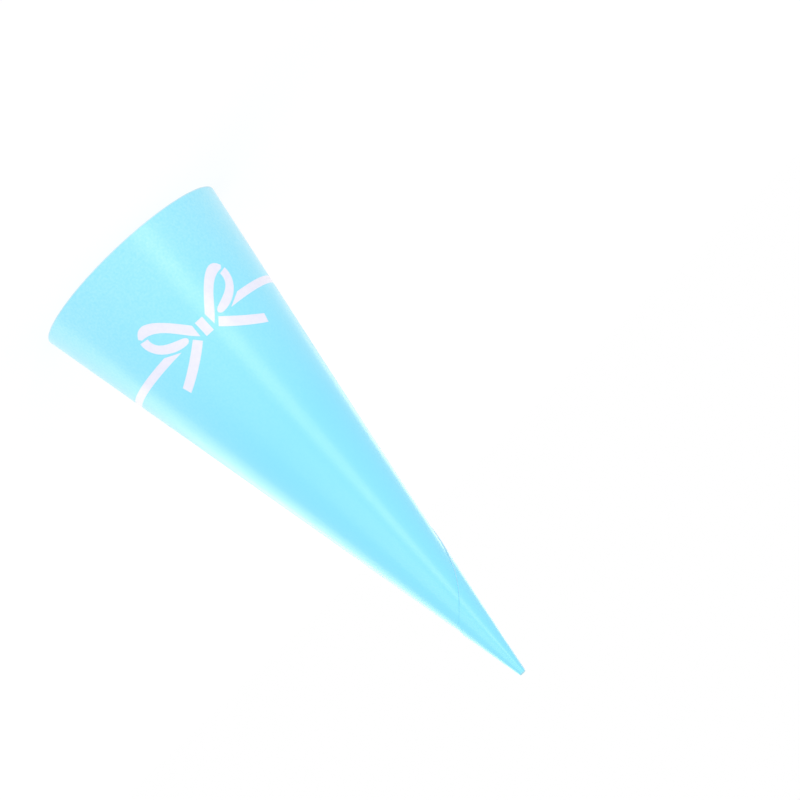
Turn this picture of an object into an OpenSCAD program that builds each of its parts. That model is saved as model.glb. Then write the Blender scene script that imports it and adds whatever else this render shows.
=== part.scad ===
// Paper cone sleeve, wound from one die-cut sheet and glued along its overlap.
// It stands on its mouth rim with the tip up. The origin is the centre of the
// mouth, on the surface that it stands on, and the front faces -Y.

/* [Cone] */
// Outside diameter of the mouth rim, at the cut edge of the seam
mouth_d = 56; // [40:1:80]
// Height from the mouth rim to the end of the tip
height = 140; // [110:1:200]
// Outside diameter of the blunt tip
tip_d = 2; // [1.4:0.1:4]

/* [Sheet] */
// Thickness of the paper
paper_t = 0.25; // [0.15:0.05:0.35]
// Width of the glued overlap, measured along the mouth rim
overlap_w = 18; // [8:1:30]
// Distance from the cone's point to the line of the outer cut edge, on the flat sheet
edge_offset = 18; // [8:0.5:30]
// Angle round the axis from the front to where the outer cut edge meets the mouth
seam_angle = 180; // [120:1:240]

/* [Tip] */
// Diameter of the hollow where the innermost turn closes
hollow_end_d = 0.4; // [0.2:0.1:1]

/* [Smoothness] */
// Angle of one flat facet round the cone
facet_angle = 2.5; // [2:0.5:6]

/* [Hidden] */

full_turn = 360;
front_azimuth = 270;
seam_azimuth = front_azimuth - seam_angle;
mouth_r = mouth_d / 2;
tip_r = tip_d / 2;
hollow_end_r = hollow_end_d / 2;

// Angle that the outer cut edge winds round the axis between its end near the tip,
// where it is nearest to the cone's point, and the mouth, on a cone of this slope
function edge_winding(slope) = let(half = atan(slope))
    acos(edge_offset * sin(half) / mouth_r) / sin(half);

// The extra turns stand proud at the tip, so the cone under them is a little slimmer
outline_slope = (mouth_r - tip_r) / height;
tip_build_up = paper_t * edge_winding(outline_slope) / full_turn / cos(atan(outline_slope));
cone_slope = (mouth_r - tip_r + tip_build_up) / height;

half_angle = atan(cone_slope);
point_z = mouth_r / cone_slope;
// Thickness of one layer of paper in a level section
ply = paper_t / cos(half_angle);
// Angles of wound sheet, counted from its outer end at the tip
edge_end = edge_winding(cone_slope);
sheet_end = edge_end + full_turn + overlap_w / mouth_r * 180 / PI;
hollow_top_z = point_z - (hollow_end_r + ply * (sheet_end - edge_end) / full_turn + ply) / cone_slope;

// Radius of the paper's outer face at height z, where the sheet has wound by angle u
function face_r(z, u) = (point_z - z) * cone_slope - ply * (u - edge_end) / full_turn;
// Height of the outer cut edge at winding angle u: a straight line on the flat sheet
function edge_z(u) = point_z - edge_offset * cos(half_angle) / cos(u * sin(half_angle));
// A point at height z, winding angle u and depth below the outer face
function sheet_point(z, u, depth = 0) = let(r = face_r(z, u) - depth, a = seam_azimuth + edge_end - u)
    [r * cos(a), r * sin(a), z];

// Columns of facets: one turn of winding angles that holds the two cut edges
edge_column_u = edge_end % full_turn;
sheet_column_u = sheet_end % full_turn;
first_u = min(edge_column_u, sheet_column_u);
second_u = max(edge_column_u, sheet_column_u);
function count(from, to) = ceil((to - from) / facet_angle);
function stretch(from, to) = [for (i = [0:1:count(from, to) - 1]) from + (to - from) * i / count(from, to)];
turn_u = concat(stretch(0, first_u), stretch(first_u, second_u), stretch(second_u, full_turn));
n = len(turn_u);
first_column = count(0, first_u);
second_column = first_column + count(first_u, second_u);
edge_first = edge_column_u <= sheet_column_u;
edge_column = (edge_first ? first_column : second_column) + n * floor(edge_end / full_turn);
sheet_column = (edge_first ? second_column : first_column) + n * floor(sheet_end / full_turn);
function column_u(j) = turn_u[j % n] + full_turn * floor(j / n);

// Rows of points: the tip's ring, the lower border of the outer turn, the border where
// the turn below shows past the cut edge, and the hollow's two rings
tip_row = [for (j = [0:n]) sheet_point(height, column_u(j))];
low_row = [for (j = [0:edge_column + n - 1])
    sheet_point(j < edge_column ? edge_z(column_u(j)) : 0, column_u(j))];
under_row = [for (j = [0:edge_column])
    sheet_point(j < edge_column ? edge_z(column_u(j)) : 0, column_u(j + n))];
mouth_row = [for (j = [0:n]) sheet_point(0, column_u(sheet_column - n + j), ply)];
hollow_row = [for (j = [0:n]) sheet_point(hollow_top_z, column_u(sheet_column - n + j), ply)];

tip_0 = 0;
low_0 = tip_0 + len(tip_row);
under_0 = low_0 + len(low_row);
mouth_0 = under_0 + len(under_row);
hollow_0 = mouth_0 + len(mouth_row);
under_end = under_0 + edge_column;
function low(j) = j < edge_column + n ? low_0 + j : under_end;
// Place in the mouth's ring of the facet column that lies inside column j
function inner_column(j) = (j - sheet_column + n * ceil(sheet_column / n)) % n;

first_turn = [for (j = [0:n - 2]) [tip_0 + j, low(j), low(j + 1), tip_0 + j + 1]];
turn_join = [
    [tip_0 + n - 1, low(n - 1), low(n), under_0],
    [tip_0 + n - 1, under_0, tip_0 + n]
];
next_turns = [for (j = [n:1:edge_column + n - 2]) [under_0 + j - n, low(j), low(j + 1), under_0 + j - n + 1]];
turn_end = [[under_end - 1, low(edge_column + n - 1), under_end]];
cut_edge = [for (j = [0:edge_column - 1]) [low(j), under_0 + j, under_0 + j + 1, low(j + 1)]];
edge_tip = [[tip_0, tip_0 + n, under_0, low_0]];
rim = [for (j = [edge_column:edge_column + n - 1]) let(k = inner_column(j)) concat(
    [mouth_0 + k + 1],
    k == n - 1 ? [mouth_0] : [],
    [low(j + 1), low(j)],
    j == edge_column ? [under_end] : [],
    [mouth_0 + k]
)];
inside = [for (k = [0:n - 1]) [mouth_0 + k, hollow_0 + k, hollow_0 + k + 1, mouth_0 + k + 1]];
inside_edge = [[mouth_0 + n, hollow_0 + n, hollow_0, mouth_0]];
tip_end = [[for (j = [0:n]) tip_0 + j]];
hollow_end = [[for (j = [n:-1:0]) hollow_0 + j]];

module paper_cone() {
    color("#93e8ff")
        polyhedron(
            points = concat(tip_row, low_row, under_row, mouth_row, hollow_row),
            faces = concat(first_turn, turn_join, next_turns, turn_end, cut_edge, edge_tip,
                rim, inside, inside_edge, tip_end, hollow_end),
            convexity = 6
        );
}

paper_cone();
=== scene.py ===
"""Looks of the paper cone sleeve: one printed sheet of coated paper, wound into a cone.

It stands on its mouth rim with the tip up and the bow facing -Y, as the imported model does.
Lengths are in millimetres and angles in radians, unless a comment says otherwise, and a
mesh gets its points in metres.
"""

import math
from typing import NamedTuple

import bpy
from mathutils import Matrix, Vector
from mathutils.geometry import delaunay_2d_cdt


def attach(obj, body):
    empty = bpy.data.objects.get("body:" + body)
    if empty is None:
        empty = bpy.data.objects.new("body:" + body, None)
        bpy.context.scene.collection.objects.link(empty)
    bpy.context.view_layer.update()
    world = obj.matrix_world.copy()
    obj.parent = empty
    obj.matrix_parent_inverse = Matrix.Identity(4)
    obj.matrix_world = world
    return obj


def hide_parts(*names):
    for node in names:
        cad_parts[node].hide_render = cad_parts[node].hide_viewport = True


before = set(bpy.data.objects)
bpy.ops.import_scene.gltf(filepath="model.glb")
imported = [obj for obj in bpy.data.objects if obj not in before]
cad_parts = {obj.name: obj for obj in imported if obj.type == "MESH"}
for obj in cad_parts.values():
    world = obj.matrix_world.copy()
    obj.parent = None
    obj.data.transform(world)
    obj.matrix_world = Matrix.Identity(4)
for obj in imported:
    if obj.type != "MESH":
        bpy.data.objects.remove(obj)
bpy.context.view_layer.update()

MM = 0.001
TURN = 2 * math.pi

# The sheet, with the solid's own sizes
MOUTH_R = 28.0
TIP_R = 1.0
HEIGHT = 140.0
PAPER_T = 0.25
OVERLAP_W = 18.0
EDGE_OFFSET = 18.0
HOLLOW_END_R = 0.2
SEAM_ANGLE = math.radians(180)
FRONT_AZIMUTH = math.radians(270)
SEAM_AZIMUTH = FRONT_AZIMUTH - SEAM_ANGLE


def linear(*rgb):
    """An sRGB colour, each part from 0 to 255, as the shader's own linear colour."""
    parts = [c / 255 for c in rgb]
    return (*(c / 12.92 if c <= 0.04045 else ((c + 0.055) / 1.055) ** 2.4 for c in parts), 1)


def edge_winding(slope):
    """Angle that the outer cut edge winds round the axis, on a cone of this slope."""
    half = math.atan(slope)
    return math.acos(EDGE_OFFSET * math.sin(half) / MOUTH_R) / math.sin(half)


OUTLINE_SLOPE = (MOUTH_R - TIP_R) / HEIGHT
TIP_BUILD_UP = PAPER_T * edge_winding(OUTLINE_SLOPE) / TURN / math.cos(math.atan(OUTLINE_SLOPE))
CONE_SLOPE = (MOUTH_R - TIP_R + TIP_BUILD_UP) / HEIGHT
HALF_ANGLE = math.atan(CONE_SLOPE)
POINT_Z = MOUTH_R / CONE_SLOPE
PLY = PAPER_T / math.cos(HALF_ANGLE)
EDGE_END = edge_winding(CONE_SLOPE)
SHEET_END = EDGE_END + TURN + OVERLAP_W / MOUTH_R
HOLLOW_TOP_Z = POINT_Z - (HOLLOW_END_R + PLY * (SHEET_END - EDGE_END) / TURN + PLY) / CONE_SLOPE
# Winding angle of the front on the outer turn, where the bow is
FRONT_U = EDGE_END - SEAM_ANGLE + TURN

# The knot on the flat sheet: how far its centre is from the rim, and half its width and length
KNOT_FROM_RIM = 27.8
KNOT_SLANT = POINT_Z / math.cos(HALF_ANGLE) - KNOT_FROM_RIM
KNOT_HALF_W = 1.15
KNOT_HALF_L = 2.1

# The ribbon's edges, by how far they are from the knot's centre towards the tip and the
# mouth, how far beside the knot the ribbon begins in a point and has its full width, and
# the angle round the cone that each end goes
RIBBON_TO_TIP = 0.7
RIBBON_TO_MOUTH = 1.4
RIBBON_SLANTS = (KNOT_SLANT - RIBBON_TO_TIP, KNOT_SLANT + RIBBON_TO_MOUTH)
RIBBON_POINT = 8.4
RIBBON_FULL = 12.5
RIBBON_REACH = math.radians(190)

# Faces are at most this wide, a long curve and a short one have this many steps, points
# join when they are closer than this, and angles this close are the same. Points are one
# point when they agree to these digits of winding angle and height
COLUMN_STEP = math.radians(1.5)
LONG_CURVE = 14
SHORT_CURVE = 6
JOIN = 0.001
CLOSE = 1e-6
ANGLE_DIGITS = 7
HEIGHT_DIGITS = 5

# The unprinted strip for the glue, seen from inside: how far its edge is from the outer
# cut edge on the flat sheet, the heights of its ends, and the steps between them
STRIP_OFFSET = 7.2
STRIP_LOW = 5.0
STRIP_HIGH = 105.0
STRIP_STEPS = 20

# The print's colour SKY and a deeper one for the mottle, which at most has the share MOTTLE,
# and SKY_LIGHT, a lighter blue at the mouth that fades out at the height LIGHT_END
SKY = linear(133, 225, 252)
SKY_LIGHT = linear(161, 234, 252)
SKY_DEEP = linear(128, 223, 251)
LIGHT_END = 60
MOTTLE = 0.5

# The paper's colours where it isn't printed, each with a darker one for the mottle
BARE_COLOURS = (linear(237, 236, 250), linear(232, 232, 249))
CUT_COLOURS = (linear(222, 240, 247), linear(190, 224, 238))
# The worn tip's colours are a darker teal than cut fibres: painted shade over real wear
WORN_SHADED_COLOURS = (linear(178, 220, 230), linear(150, 210, 226))
INSIDE_COLOURS = (linear(227, 252, 255), linear(220, 247, 253))
DOUBLE_COLOURS = (linear(219, 243, 255), linear(212, 238, 251))
STRIP_COLOURS = (linear(229, 240, 253), linear(222, 234, 250))

# The gloss of the coated side, and how much light goes into the uncoated side and how deep
COAT = 0.45
COAT_ROUGHNESS = 0.24
GLOW_THROUGH = 0.8
GLOW_DEPTH = 2.5


class Grain(NamedTuple):
    """The fine detail of a paper surface.

    Colour, gloss and relief are the features to the metre of their noise. Rough is the least
    and the most roughness, and the relief's depth is in millimetres.
    """

    colour: float
    gloss: float
    relief: float
    rough: tuple
    strength: float
    depth: float
    gloss_detail: float = 3


PRINTED = Grain(1500, 350, 3000, rough=(0.3, 0.36), strength=0.2, depth=0.004, gloss_detail=1)
COATED = Grain(900, 350, 2600, rough=(0.32, 0.38), strength=0.12, depth=0.03, gloss_detail=1)
FIBRES = Grain(4000, 3000, 9000, rough=(0.7, 0.95), strength=0.5, depth=0.03)
UNCOATED = Grain(1200, 500, 4200, rough=(0.45, 0.6), strength=0.25, depth=0.03)

# Soft waves of the printed side: features to the metre, their stretch along the cone,
# strength and depth in millimetres
WAVES = 60
WAVE_STRETCH = (1, 1, 0.3)
WAVE_STRENGTH = 0.2
WAVE_DEPTH = 0.3

# Noise is nearly always between these two values
NOISE_RANGE = (0.3, 0.7)

# The floor's half width in metres and its grey, how much of it is even glow, as it is seen
# and as it lights the sleeve, how bright that is, the distances in metres over which its
# shadow fades out, and how bright the world is as a light
FLOOR_HALF = 3.0
FLOOR_GREY = 0.95
FLOOR_SEEN = 0.72
FLOOR_LIGHT = 0.8
FLOOR_GLOW = 1.07
SHADOW_REACH = (0.05, 0.35)
AMBIENT = 0.7

# Lamps: name, degrees to the left of the camera for an upright viewer, height in metres,
# then the lamp's own width and length in metres, and its power in watts
LAMPS = (
    ("key", -22, 1.0, 1.5, 0.9, 4.8),
    ("stripe", 30, 0.5, 0.55, 1.0, 4.1),
    ("left", 152, 0.5, 0.6, 1.0, 2.2),
    ("right", -132, 0.5, 1.6, 1.0, 7.0),
)
LAMP_DISTANCE = 1.5

# The camera: its place and aim, its lens and sensor in millimetres too, and the distances
# in metres that it sees
CAMERA_AT = Vector((56.9, -534.7, 111.2))
CAMERA_AIM = Vector((-24.47, -3.81, 70.77))
CAMERA_ROLL = math.radians(-136)
LENS = 98.1
SENSOR_W = 36
SIGHT = (0.02, 20)

# The outer face next to the rim is marked by the cut over the height EDGE_MARK, and the end
# of the tip is worn round over the height TIP_WEAR, by TIP_ROUNDING at its top, with
# painted shade in its colour over that height
EDGE_MARK = 0.2
TIP_WEAR = 0.35
TIP_ROUNDING = 0.18

# The sheet's two sides, and its materials in their order on the mesh
OUTER, INNER = range(2)
PRINT, BARE, CUT, WORN_SHADED, INSIDE, DOUBLE, STRIP = range(7)

# The kind of result asked of the triangulation, and places of sockets on the Mix node
TRIANGLES_INSIDE = 1
MIX_SHARE, MIX_A, MIX_B, MIX_OUT = 0, 6, 7, 2


def face_r(z, u):
    """Radius of the paper's outer face at height z, where the sheet has wound by angle u."""
    return (POINT_Z - z) * CONE_SLOPE - PLY * (u - EDGE_END) / TURN


def edge_z(u):
    """Height of the outer cut edge, a straight line on the flat sheet."""
    return POINT_Z - EDGE_OFFSET * math.cos(HALF_ANGLE) / math.cos(u * math.sin(HALF_ANGLE))


def edge_u(z):
    """Winding angle at which the outer cut edge is at height z."""
    return math.acos(EDGE_OFFSET * math.cos(HALF_ANGLE) / (POINT_Z - z)) / math.sin(HALF_ANGLE)


def slant_z(slant):
    """Height at this distance from the cone's point along the paper."""
    return POINT_Z - slant * math.cos(HALF_ANGLE)


def azimuth(u):
    """Angle round the axis at winding angle u."""
    return SEAM_AZIMUTH + EDGE_END - u


def place(side, u, z):
    """A point of the sheet's outer or inner face, in metres."""
    r = face_r(z, u) - (PLY if side == INNER else 0)
    r -= TIP_ROUNDING * max(0, z - HEIGHT + TIP_WEAR) / TIP_WEAR
    return Vector((r * math.cos(azimuth(u)), r * math.sin(azimuth(u)), z)) * MM


def face_normal(side, u):
    """The sheet's normal, which points outwards on its outer face."""
    flat = math.cos(HALF_ANGLE)
    n = Vector((flat * math.cos(azimuth(u)), flat * math.sin(azimuth(u)), math.sin(HALF_ANGLE)))
    return -n if side == INNER else n


class Sheet:
    """Points and faces of the wound sheet, as they are added.

    A face has its corners, its material, and whether it takes the cone's own normals.
    """

    def __init__(self):
        self.index = {}
        self.points = []
        self.faces = []

    def point(self, side, u, z):
        """The number of this point, which is added if it is new."""
        key = (side, round(u, ANGLE_DIGITS), round(z, HEIGHT_DIGITS))
        if key not in self.index:
            self.index[key] = len(self.points)
            self.points.append((side, u, z))
        return self.index[key]

    def skin(self, corners, material):
        """A face of the paper's broad side, with the cone's own normals."""
        self.faces.append((corners, material, True))

    def wall(self, corners, material=CUT):
        """A flat face of cut paper."""
        self.faces.append((corners, material, False))


def columns(marks, start, end):
    """Winding angles from start to end, the same in each turn, with the marks among them."""
    marks = sorted(m % TURN for m in marks)
    turn = []
    for a, b in zip(marks, marks[1:] + [marks[0] + TURN]):
        count = max(1, math.ceil((b - a) / COLUMN_STEP - CLOSE))
        turn += [a + (b - a) * i / count for i in range(count)]
    turns = range(math.floor(start / TURN) - 1, math.ceil(end / TURN) + 1)
    found = [a + TURN * k for k in turns for a in turn]
    return [u for u in found if start - CLOSE <= u <= end + CLOSE]


def curve(p0, p1, p2, p3, count=LONG_CURVE):
    """Points of a Bezier curve."""
    found = []
    for i in range(count + 1):
        t = i / count
        s = 1 - t
        weighted = list(zip((s**3, 3 * s * s * t, 3 * s * t * t, t**3), (p0, p1, p2, p3)))
        found.append(tuple(sum(w * p[k] for w, p in weighted) for k in (0, 1)))
    return found


def on_sheet(x, y):
    """Winding angle and height of a place x beside the knot's centre and y from it to the mouth."""
    slant = math.hypot(x, KNOT_SLANT + y)
    turned = math.atan2(x, KNOT_SLANT + y) / math.sin(HALF_ANGLE)
    return FRONT_U + turned, slant_z(slant)


def bow_shapes():
    """Outlines of one half of the bow, each as (x, y) from the knot's centre."""
    front_loop = curve((2.1, 2.1), (6.3, 7.1), (11.5, 13.0), (14.3, 8.1))
    front_loop += curve((13.7, 7.4), (8.4, 7.7), (5.7, 1.8), (2.3, -1.1))
    rear_loop = curve((14.7, 7.0), (15.4, 2.8), (10.3, -0.5), (6.3, -0.5))
    rear_loop += curve((6.2, -0.5), (5.2, -0.6), (4.2, 0.5), (5.6, 1.2), SHORT_CURVE)
    rear_loop += curve((5.7, 1.25), (8.6, 2.4), (12.7, 3.1), (12.4, 6.7))
    tail = curve((4.2, -0.5), (8.0, -3.6), (10.3, -5.3), (14.55, -7.6))
    tail += curve((13.75, -9.8), (9.8, -8.0), (5.4, -4.9), (2.6, -2.3))
    return [front_loop, rear_loop, tail]


def ribbon_shapes():
    """The ribbon's two ends behind the bow, as (u, z), each longer than the sheet it crosses."""
    tip_side, mouth_side = (slant_z(s) for s in RIBBON_SLANTS)
    point = RIBBON_POINT / KNOT_SLANT / math.sin(HALF_ANGLE)
    full = RIBBON_FULL / KNOT_SLANT / math.sin(HALF_ANGLE)
    shape = [(point, tip_side), (RIBBON_REACH, tip_side), (RIBBON_REACH, mouth_side), (full, mouth_side)]
    return [[(FRONT_U + side * u, z) for u, z in shape] for side in (1, -1)]


def print_shapes():
    """Outlines of the bare paper in the print, as (u, z)."""
    x, y = KNOT_HALF_W, KNOT_HALF_L
    loops = [[(-x, -y), (x, -y), (x, y), (-x, y)]]
    for shape in bow_shapes():
        loops.append(shape)
        loops.append([(-x, y) for x, y in shape])
    return [[on_sheet(x, y) for x, y in loop] for loop in loops] + ribbon_shapes()


def add_skin(sheet, side, outline, rulings, shapes):
    """Fills the outline with faces between the rulings, cut along the outlines of the shapes.

    The outline and the shapes are loops of (u, z), and a shape comes with its material. Where
    shapes overlap, the last one counts.
    """
    places, edges, loops = [], [], []

    def number(loop):
        """Adds the loop's places, the positive way round, and gives their numbers."""
        area = sum(a[0] * b[1] - b[0] * a[1] for a, b in zip(loop, loop[1:] + loop[:1]))
        first = len(places)
        places.extend(loop if area > 0 else loop[::-1])
        return list(range(first, len(places)))

    loops.append(number(outline))
    for ends in rulings:
        edges.append((len(places), len(places) + 1))
        places.extend(ends)
    for loop, _ in shapes:
        loops.append(number(loop))
    flat = [Vector((u * MOUTH_R, z)) for u, z in places]
    found = delaunay_2d_cdt(flat, edges, loops, TRIANGLES_INSIDE, JOIN)
    points, _, faces, old_points, _, old_loops = found

    def corner(i):
        """The sheet's point for a corner found, with its exact place where it is an old one."""
        u, z = places[old_points[i][0]] if old_points[i] else (points[i].x / MOUTH_R, points[i].y)
        return sheet.point(side, u, z)

    # The outline is loop 0, and the shapes follow it
    for face, inside in zip(faces, old_loops):
        if 0 not in inside:
            continue
        shape = max(inside)
        material = shapes[shape - 1][1] if shape else (PRINT if side == OUTER else INSIDE)
        corners = [corner(i) for i in face]
        sheet.skin(corners[::-1] if side == OUTER else corners, material)


def strip_edge_u(z):
    """Winding angle of the printed area's end on the inner turn, next to the glue strip."""
    offset = EDGE_OFFSET - STRIP_OFFSET
    return math.acos(offset * math.cos(HALF_ANGLE) / (POINT_Z - z)) / math.sin(HALF_ANGLE) + TURN


def add_outside(sheet, marks):
    """The printed side of the outer turn, and of the turn below it where the cut edge bares it."""
    edge = columns(marks, 0, EDGE_END)
    low = [(u, edge_z(u)) for u in edge[:-1]]
    low += [(u, 0) for u in columns(marks, EDGE_END, EDGE_END + TURN)]
    high = [(u + TURN, edge_z(u)) for u in edge[:-1]]
    top = [(u, HEIGHT) for u in columns(marks, 0, TURN)]
    facing = {round(u, ANGLE_DIGITS): (u, z) for u, z in top[:-1] + high}
    rulings = [(p, facing[round(p[0], ANGLE_DIGITS)]) for p in low[1:-1]]
    outline = low + high[::-1] + top[::-1]
    marked = edge_u(EDGE_MARK)
    mark = [low[-1], (EDGE_END, 0), (marked, EDGE_MARK), (marked + TURN, EDGE_MARK)]
    # The worn band at the tip gets colours that hold painted shade
    shaded_wear = [(0, HEIGHT - TIP_WEAR), (TURN, HEIGHT - TIP_WEAR), top[-1], top[0]]
    shapes = [(loop, BARE) for loop in print_shapes()] + [(mark, CUT), (shaded_wear, WORN_SHADED)]
    add_skin(sheet, OUTER, outline, rulings, shapes)

    lines = list(zip(low, high + [(EDGE_END + TURN, 0)]))
    corner = [(sheet.point(OUTER, *a), sheet.point(OUTER, *b)) for a, b in lines]
    for (low_a, high_a), (low_b, high_b) in zip(corner, corner[1:]):
        sheet.wall([low_b, high_b, high_a, low_a])
    tip = [sheet.point(OUTER, *p) for p in top]
    worn = [sheet.point(OUTER, *p) for p in shaded_wear[:2]]
    sheet.wall([*corner[0], worn[1], tip[-1], tip[0], worn[0]])
    # The tip's end face gets the same colours with painted shade
    sheet.wall(tip[::-1], WORN_SHADED)


def add_inside(sheet, marks):
    """The unprinted side of the inner turn, with what shows through it of the turn behind."""
    start = SHEET_END - TURN
    across = columns(marks, start, SHEET_END)
    bottom = [(u, 0) for u in across]
    top = [(u, HOLLOW_TOP_Z) for u in across]
    seen_edge = [(u + TURN, edge_z(u)) for u in columns(marks, start - TURN, EDGE_END)[:-1]]
    double = [(EDGE_END + TURN, 0), bottom[-1], top[-1], top[0]] + seen_edge
    step = (STRIP_HIGH - STRIP_LOW) / STRIP_STEPS
    heights = [STRIP_LOW + step * i for i in range(STRIP_STEPS + 1)]
    strip = [(SHEET_END, STRIP_HIGH), (SHEET_END, STRIP_LOW)]
    strip += [(strip_edge_u(z), z) for z in heights]
    rulings = list(zip(bottom[1:-1], top[1:-1]))
    add_skin(sheet, INNER, bottom + top[::-1], rulings, [(double, DOUBLE), (strip, STRIP)])

    end = [(start, 0), seen_edge[0], (start, HOLLOW_TOP_Z), (SHEET_END, HOLLOW_TOP_Z)]
    end += [(SHEET_END, STRIP_HIGH), (SHEET_END, STRIP_LOW), (SHEET_END, 0)]
    sheet.wall([sheet.point(INNER, *p) for p in end])
    sheet.wall([sheet.point(INNER, *p) for p in top], INSIDE)


def add_rim(sheet, marks):
    """The cut paper that the sleeve stands on, with a step at the seam and at the inner edge."""
    across = columns(marks, EDGE_END, EDGE_END + TURN)
    start = SHEET_END - TURN
    for a, b in zip(across, across[1:]):
        turns = 0 if a >= start - CLOSE else TURN
        corners = [(OUTER, a, 0), (OUTER, b, 0)]
        if abs(b - start) < CLOSE:
            corners.append((INNER, start, 0))
        corners += [(INNER, b + turns, 0), (INNER, a + turns, 0)]
        if a == across[0]:
            corners.append((OUTER, EDGE_END + TURN, 0))
        sheet.wall([sheet.point(*c) for c in corners])


def build_sleeve():
    """The sleeve as one closed mesh, with the cone's own normals on its broad sides."""
    sheet = Sheet()
    heights = [EDGE_MARK] + [slant_z(s) for s in RIBBON_SLANTS]
    marks = [0, EDGE_END, SHEET_END] + [edge_u(z) for z in heights]
    add_outside(sheet, marks)
    add_inside(sheet, marks)
    add_rim(sheet, marks)
    mesh = bpy.data.meshes.new("wound_sheet")
    mesh.from_pydata([place(*p) for p in sheet.points], [], [corners for corners, _, _ in sheet.faces])
    normals = []
    for polygon, (corners, material, smooth) in zip(mesh.polygons, sheet.faces):
        polygon.material_index = material
        polygon.use_smooth = True
        for i in corners:
            side, u, _ = sheet.points[i]
            normals.append(face_normal(side, u) if smooth else polygon.normal.copy())
    mesh.normals_split_custom_set(normals)
    sleeve = bpy.data.objects.new("wound_sheet", mesh)
    bpy.context.scene.collection.objects.link(sleeve)
    return sleeve


def nodes_of(name):
    """A new material with one Principled shader, and its node tree."""
    made = bpy.data.materials.new(name)
    made.use_nodes = True
    tree = made.node_tree
    return made, tree, tree.nodes["Principled BSDF"]


def noise(tree, scale, detail=3, stretch=(1, 1, 1)):
    """Noise in the sleeve's own space, with this many features to the metre."""
    at = tree.nodes.new("ShaderNodeTexCoord")
    mapping = tree.nodes.new("ShaderNodeMapping")
    mapping.inputs["Scale"].default_value = stretch
    texture = tree.nodes.new("ShaderNodeTexNoise")
    texture.inputs["Scale"].default_value = scale
    texture.inputs["Detail"].default_value = detail
    tree.links.new(at.outputs["Object"], mapping.inputs["Vector"])
    tree.links.new(mapping.outputs["Vector"], texture.inputs["Vector"])
    return texture.outputs["Fac"]


def spread(tree, value, low, high):
    """Noise, nearly all of which lies in NOISE_RANGE, as a value between low and high."""
    node = tree.nodes.new("ShaderNodeMapRange")
    for name, number in zip(("From Min", "From Max", "To Min", "To Max"), (*NOISE_RANGE, low, high)):
        node.inputs[name].default_value = number
    tree.links.new(value, node.inputs["Value"])
    return node.outputs["Result"]


def mix(tree, share, a, b):
    """A colour between a and b, by a socket's share. Both are colours or sockets."""
    node = tree.nodes.new("ShaderNodeMix")
    node.data_type = "RGBA"
    tree.links.new(share, node.inputs[MIX_SHARE])
    for socket, colour in ((node.inputs[MIX_A], a), (node.inputs[MIX_B], b)):
        if isinstance(colour, bpy.types.NodeSocket):
            tree.links.new(colour, socket)
        else:
            socket.default_value = colour
    return node.outputs[MIX_OUT]


def bump(tree, shader, *layers):
    """Bump from (height, strength, distance) layers, distances in millimetres."""
    normal = None
    for height, strength, distance in layers:
        node = tree.nodes.new("ShaderNodeBump")
        node.inputs["Strength"].default_value = strength
        node.inputs["Distance"].default_value = distance * MM
        tree.links.new(height, node.inputs["Height"])
        if normal:
            tree.links.new(normal, node.inputs["Normal"])
        normal = node.outputs["Normal"]
    tree.links.new(normal, shader.inputs["Normal"])


def up_the_cone(tree, low, high):
    """0 at height low and 1 at height high, in millimetres from the mouth."""
    at = tree.nodes.new("ShaderNodeTexCoord")
    split = tree.nodes.new("ShaderNodeSeparateXYZ")
    node = tree.nodes.new("ShaderNodeMapRange")
    node.inputs["From Min"].default_value = low * MM
    node.inputs["From Max"].default_value = high * MM
    tree.links.new(at.outputs["Object"], split.inputs["Vector"])
    tree.links.new(split.outputs["Z"], node.inputs["Value"])
    return node.outputs["Result"]


def add_grain(tree, shader, grain, light, dark, most=1, layers=()):
    """The grain's colours, roughness and relief, with more layers of relief over it.

    The colour goes from light towards dark, up to the share most.
    """
    mottle = spread(tree, noise(tree, grain.colour), 0, most)
    tree.links.new(mix(tree, mottle, light, dark), shader.inputs["Base Color"])
    gloss = noise(tree, grain.gloss, grain.gloss_detail)
    tree.links.new(spread(tree, gloss, *grain.rough), shader.inputs["Roughness"])
    relief = noise(tree, grain.relief)
    bump(tree, shader, (relief, grain.strength, grain.depth), *layers)


def add_coat(shader):
    """The gloss of coated paper."""
    shader.inputs["Coat Weight"].default_value = COAT
    shader.inputs["Coat Roughness"].default_value = COAT_ROUGHNESS


def printed_paper():
    """Glossy coated paper in sky blue, lighter towards the mouth."""
    made, tree, shader = nodes_of("sky_print")
    by_height = mix(tree, up_the_cone(tree, 0, LIGHT_END), SKY_LIGHT, SKY)
    waves = (noise(tree, WAVES, 1, WAVE_STRETCH), WAVE_STRENGTH, WAVE_DEPTH)
    add_grain(tree, shader, PRINTED, by_height, SKY_DEEP, MOTTLE, [waves])
    add_coat(shader)
    return made


def bare_paper():
    """The coated paper's own white, in the bow."""
    made, tree, shader = nodes_of("bare_paper")
    add_grain(tree, shader, COATED, *BARE_COLOURS)
    add_coat(shader)
    return made


def cut_paper(name, colours):
    """The fibres of the paper where it is cut or worn; the worn tip's colours also hold painted shade.
    """
    made, tree, shader = nodes_of(name)
    add_grain(tree, shader, FIBRES, *colours)
    return made


def inner_paper(name, colours):
    """The paper's uncoated side, which lets some light through."""
    made, tree, shader = nodes_of(name)
    add_grain(tree, shader, UNCOATED, *colours)
    shader.inputs["Subsurface Weight"].default_value = GLOW_THROUGH
    shader.inputs["Subsurface Radius"].default_value = (1, 1, 1)
    shader.inputs["Subsurface Scale"].default_value = GLOW_DEPTH * MM
    return made


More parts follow.
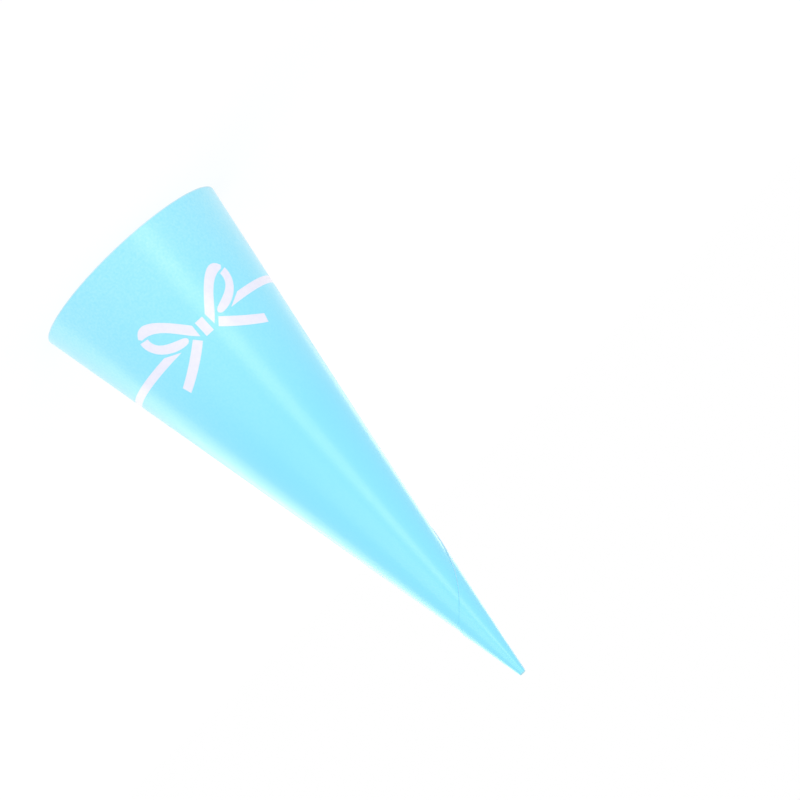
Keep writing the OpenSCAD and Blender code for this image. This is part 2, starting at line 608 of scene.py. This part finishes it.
def dress(sleeve):
    """Gives the sleeve its materials, in the order of their numbers."""
    for made in (
        printed_paper(),
        bare_paper(),
        cut_paper("cut_paper", CUT_COLOURS),
        # The worn tip's material, darkened by painted shade
        cut_paper("worn_shaded_tip", WORN_SHADED_COLOURS),
        inner_paper("inner_paper", INSIDE_COLOURS),
        inner_paper("inner_paper_double", DOUBLE_COLOURS),
        inner_paper("inner_paper_glued", STRIP_COLOURS),
    ):
        sleeve.data.materials.append(made)


def seen_share(tree, seen, other):
    """One number for what the camera, a reflection or glass sees, and another for light."""
    path = tree.nodes.new("ShaderNodeLightPath")
    total = path.outputs["Is Camera Ray"]
    for name in ("Is Glossy Ray", "Is Transmission Ray"):
        node = tree.nodes.new("ShaderNodeMath")
        node.operation = "MAXIMUM"
        tree.links.new(total, node.inputs[0])
        tree.links.new(path.outputs[name], node.inputs[1])
        total = node.outputs[0]
    node = tree.nodes.new("ShaderNodeMapRange")
    node.inputs["To Min"].default_value = other
    node.inputs["To Max"].default_value = seen
    tree.links.new(total, node.inputs["Value"])
    return node.outputs["Result"]


def from_middle(tree, near, far):
    """0 up to the near distance from the sleeve's axis and 1 from the far one on, in metres."""
    at = tree.nodes.new("ShaderNodeTexCoord")
    length = tree.nodes.new("ShaderNodeVectorMath")
    length.operation = "LENGTH"
    node = tree.nodes.new("ShaderNodeMapRange")
    node.interpolation_type = "SMOOTHSTEP"
    node.inputs["From Min"].default_value = near
    node.inputs["From Max"].default_value = far
    tree.links.new(at.outputs["Object"], length.inputs[0])
    tree.links.new(length.outputs["Value"], node.inputs["Value"])
    return node.outputs["Result"]


def floor_material():
    """White paper sweep that keeps a soft shadow, and is clear when seen from below."""
    made = bpy.data.materials.new("floor")
    made.use_nodes = True
    tree = made.node_tree
    tree.nodes.remove(tree.nodes["Principled BSDF"])
    diffuse = tree.nodes.new("ShaderNodeBsdfDiffuse")
    diffuse.inputs["Color"].default_value = (FLOOR_GREY, FLOOR_GREY, FLOOR_GREY, 1)
    glow = tree.nodes.new("ShaderNodeEmission")
    glow.inputs["Strength"].default_value = FLOOR_GLOW
    clear = tree.nodes.new("ShaderNodeBsdfTransparent")
    lit = tree.nodes.new("ShaderNodeMixShader")
    share = tree.nodes.new("ShaderNodeMath")
    share.operation = "MAXIMUM"
    tree.links.new(seen_share(tree, FLOOR_SEEN, FLOOR_LIGHT), share.inputs[0])
    tree.links.new(from_middle(tree, *SHADOW_REACH), share.inputs[1])
    tree.links.new(share.outputs[0], lit.inputs["Fac"])
    tree.links.new(diffuse.outputs[0], lit.inputs[1])
    tree.links.new(glow.outputs[0], lit.inputs[2])
    sides = tree.nodes.new("ShaderNodeMixShader")
    geometry = tree.nodes.new("ShaderNodeNewGeometry")
    tree.links.new(geometry.outputs["Backfacing"], sides.inputs["Fac"])
    tree.links.new(lit.outputs[0], sides.inputs[1])
    tree.links.new(clear.outputs[0], sides.inputs[2])
    tree.links.new(sides.outputs[0], tree.nodes["Material Output"].inputs["Surface"])
    return made


def add_floor():
    """One square that the sleeve stands on."""
    half = FLOOR_HALF
    corners = [(-half, -half, 0), (half, -half, 0), (half, half, 0), (-half, half, 0)]
    mesh = bpy.data.meshes.new("floor")
    mesh.from_pydata(corners, [], [range(len(corners))])
    mesh.materials.append(floor_material())
    floor = bpy.data.objects.new("floor", mesh)
    bpy.context.scene.collection.objects.link(floor)


def light_world():
    """A white world, less bright as a light than as it is seen."""
    world = bpy.data.worlds.new("studio")
    bpy.context.scene.world = world
    world.use_nodes = True
    tree = world.node_tree
    strength = seen_share(tree, 1.0, AMBIENT)
    tree.links.new(strength, tree.nodes["Background"].inputs["Strength"])
    tree.nodes["Background"].inputs["Color"].default_value = (1, 1, 1, 1)


def add_lamp(name, angle, height, width, length, power):
    """A soft lamp, turned to the middle of the sleeve."""
    data = bpy.data.lights.new(name, "AREA")
    data.shape = "RECTANGLE"
    data.size = width
    data.size_y = length
    data.energy = power
    lamp = bpy.data.objects.new(name, data)
    turned = math.atan2(CAMERA_AT.y, CAMERA_AT.x) - math.radians(angle)
    lamp.location = (LAMP_DISTANCE * math.cos(turned), LAMP_DISTANCE * math.sin(turned), height)
    middle = Vector((0, 0, HEIGHT / 2 * MM))
    lamp.rotation_euler = (middle - lamp.location).to_track_quat("-Z", "Y").to_euler()
    lamp.visible_camera = False
    bpy.context.scene.collection.objects.link(lamp)


def add_camera():
    """The camera of the photograph, rolled so that the tip points down and to the right."""
    data = bpy.data.cameras.new("camera")
    data.lens = LENS
    data.sensor_width = SENSOR_W
    data.clip_start, data.clip_end = SIGHT
    forward = (CAMERA_AIM - CAMERA_AT).normalized()
    level = forward.cross(Vector((0, 0, 1))).normalized()
    upright = level.cross(forward)
    up = upright * math.cos(CAMERA_ROLL) + level * math.sin(CAMERA_ROLL)
    right = forward.cross(up)
    camera = bpy.data.objects.new("camera", data)
    turned = Matrix((right, up, -forward)).transposed().to_4x4()
    camera.matrix_world = Matrix.Translation(CAMERA_AT * MM) @ turned
    bpy.context.scene.collection.objects.link(camera)
    bpy.context.scene.camera = camera


def main():
    """Builds the sleeve, its stage and the camera."""
    sleeve = build_sleeve()
    dress(sleeve)
    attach(sleeve, "root")
    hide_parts("paper_cone")
    add_floor()
    light_world()
    for lamp in LAMPS:
        add_lamp(*lamp)
    add_camera()
    bpy.context.scene.view_settings.view_transform = "Standard"


main()
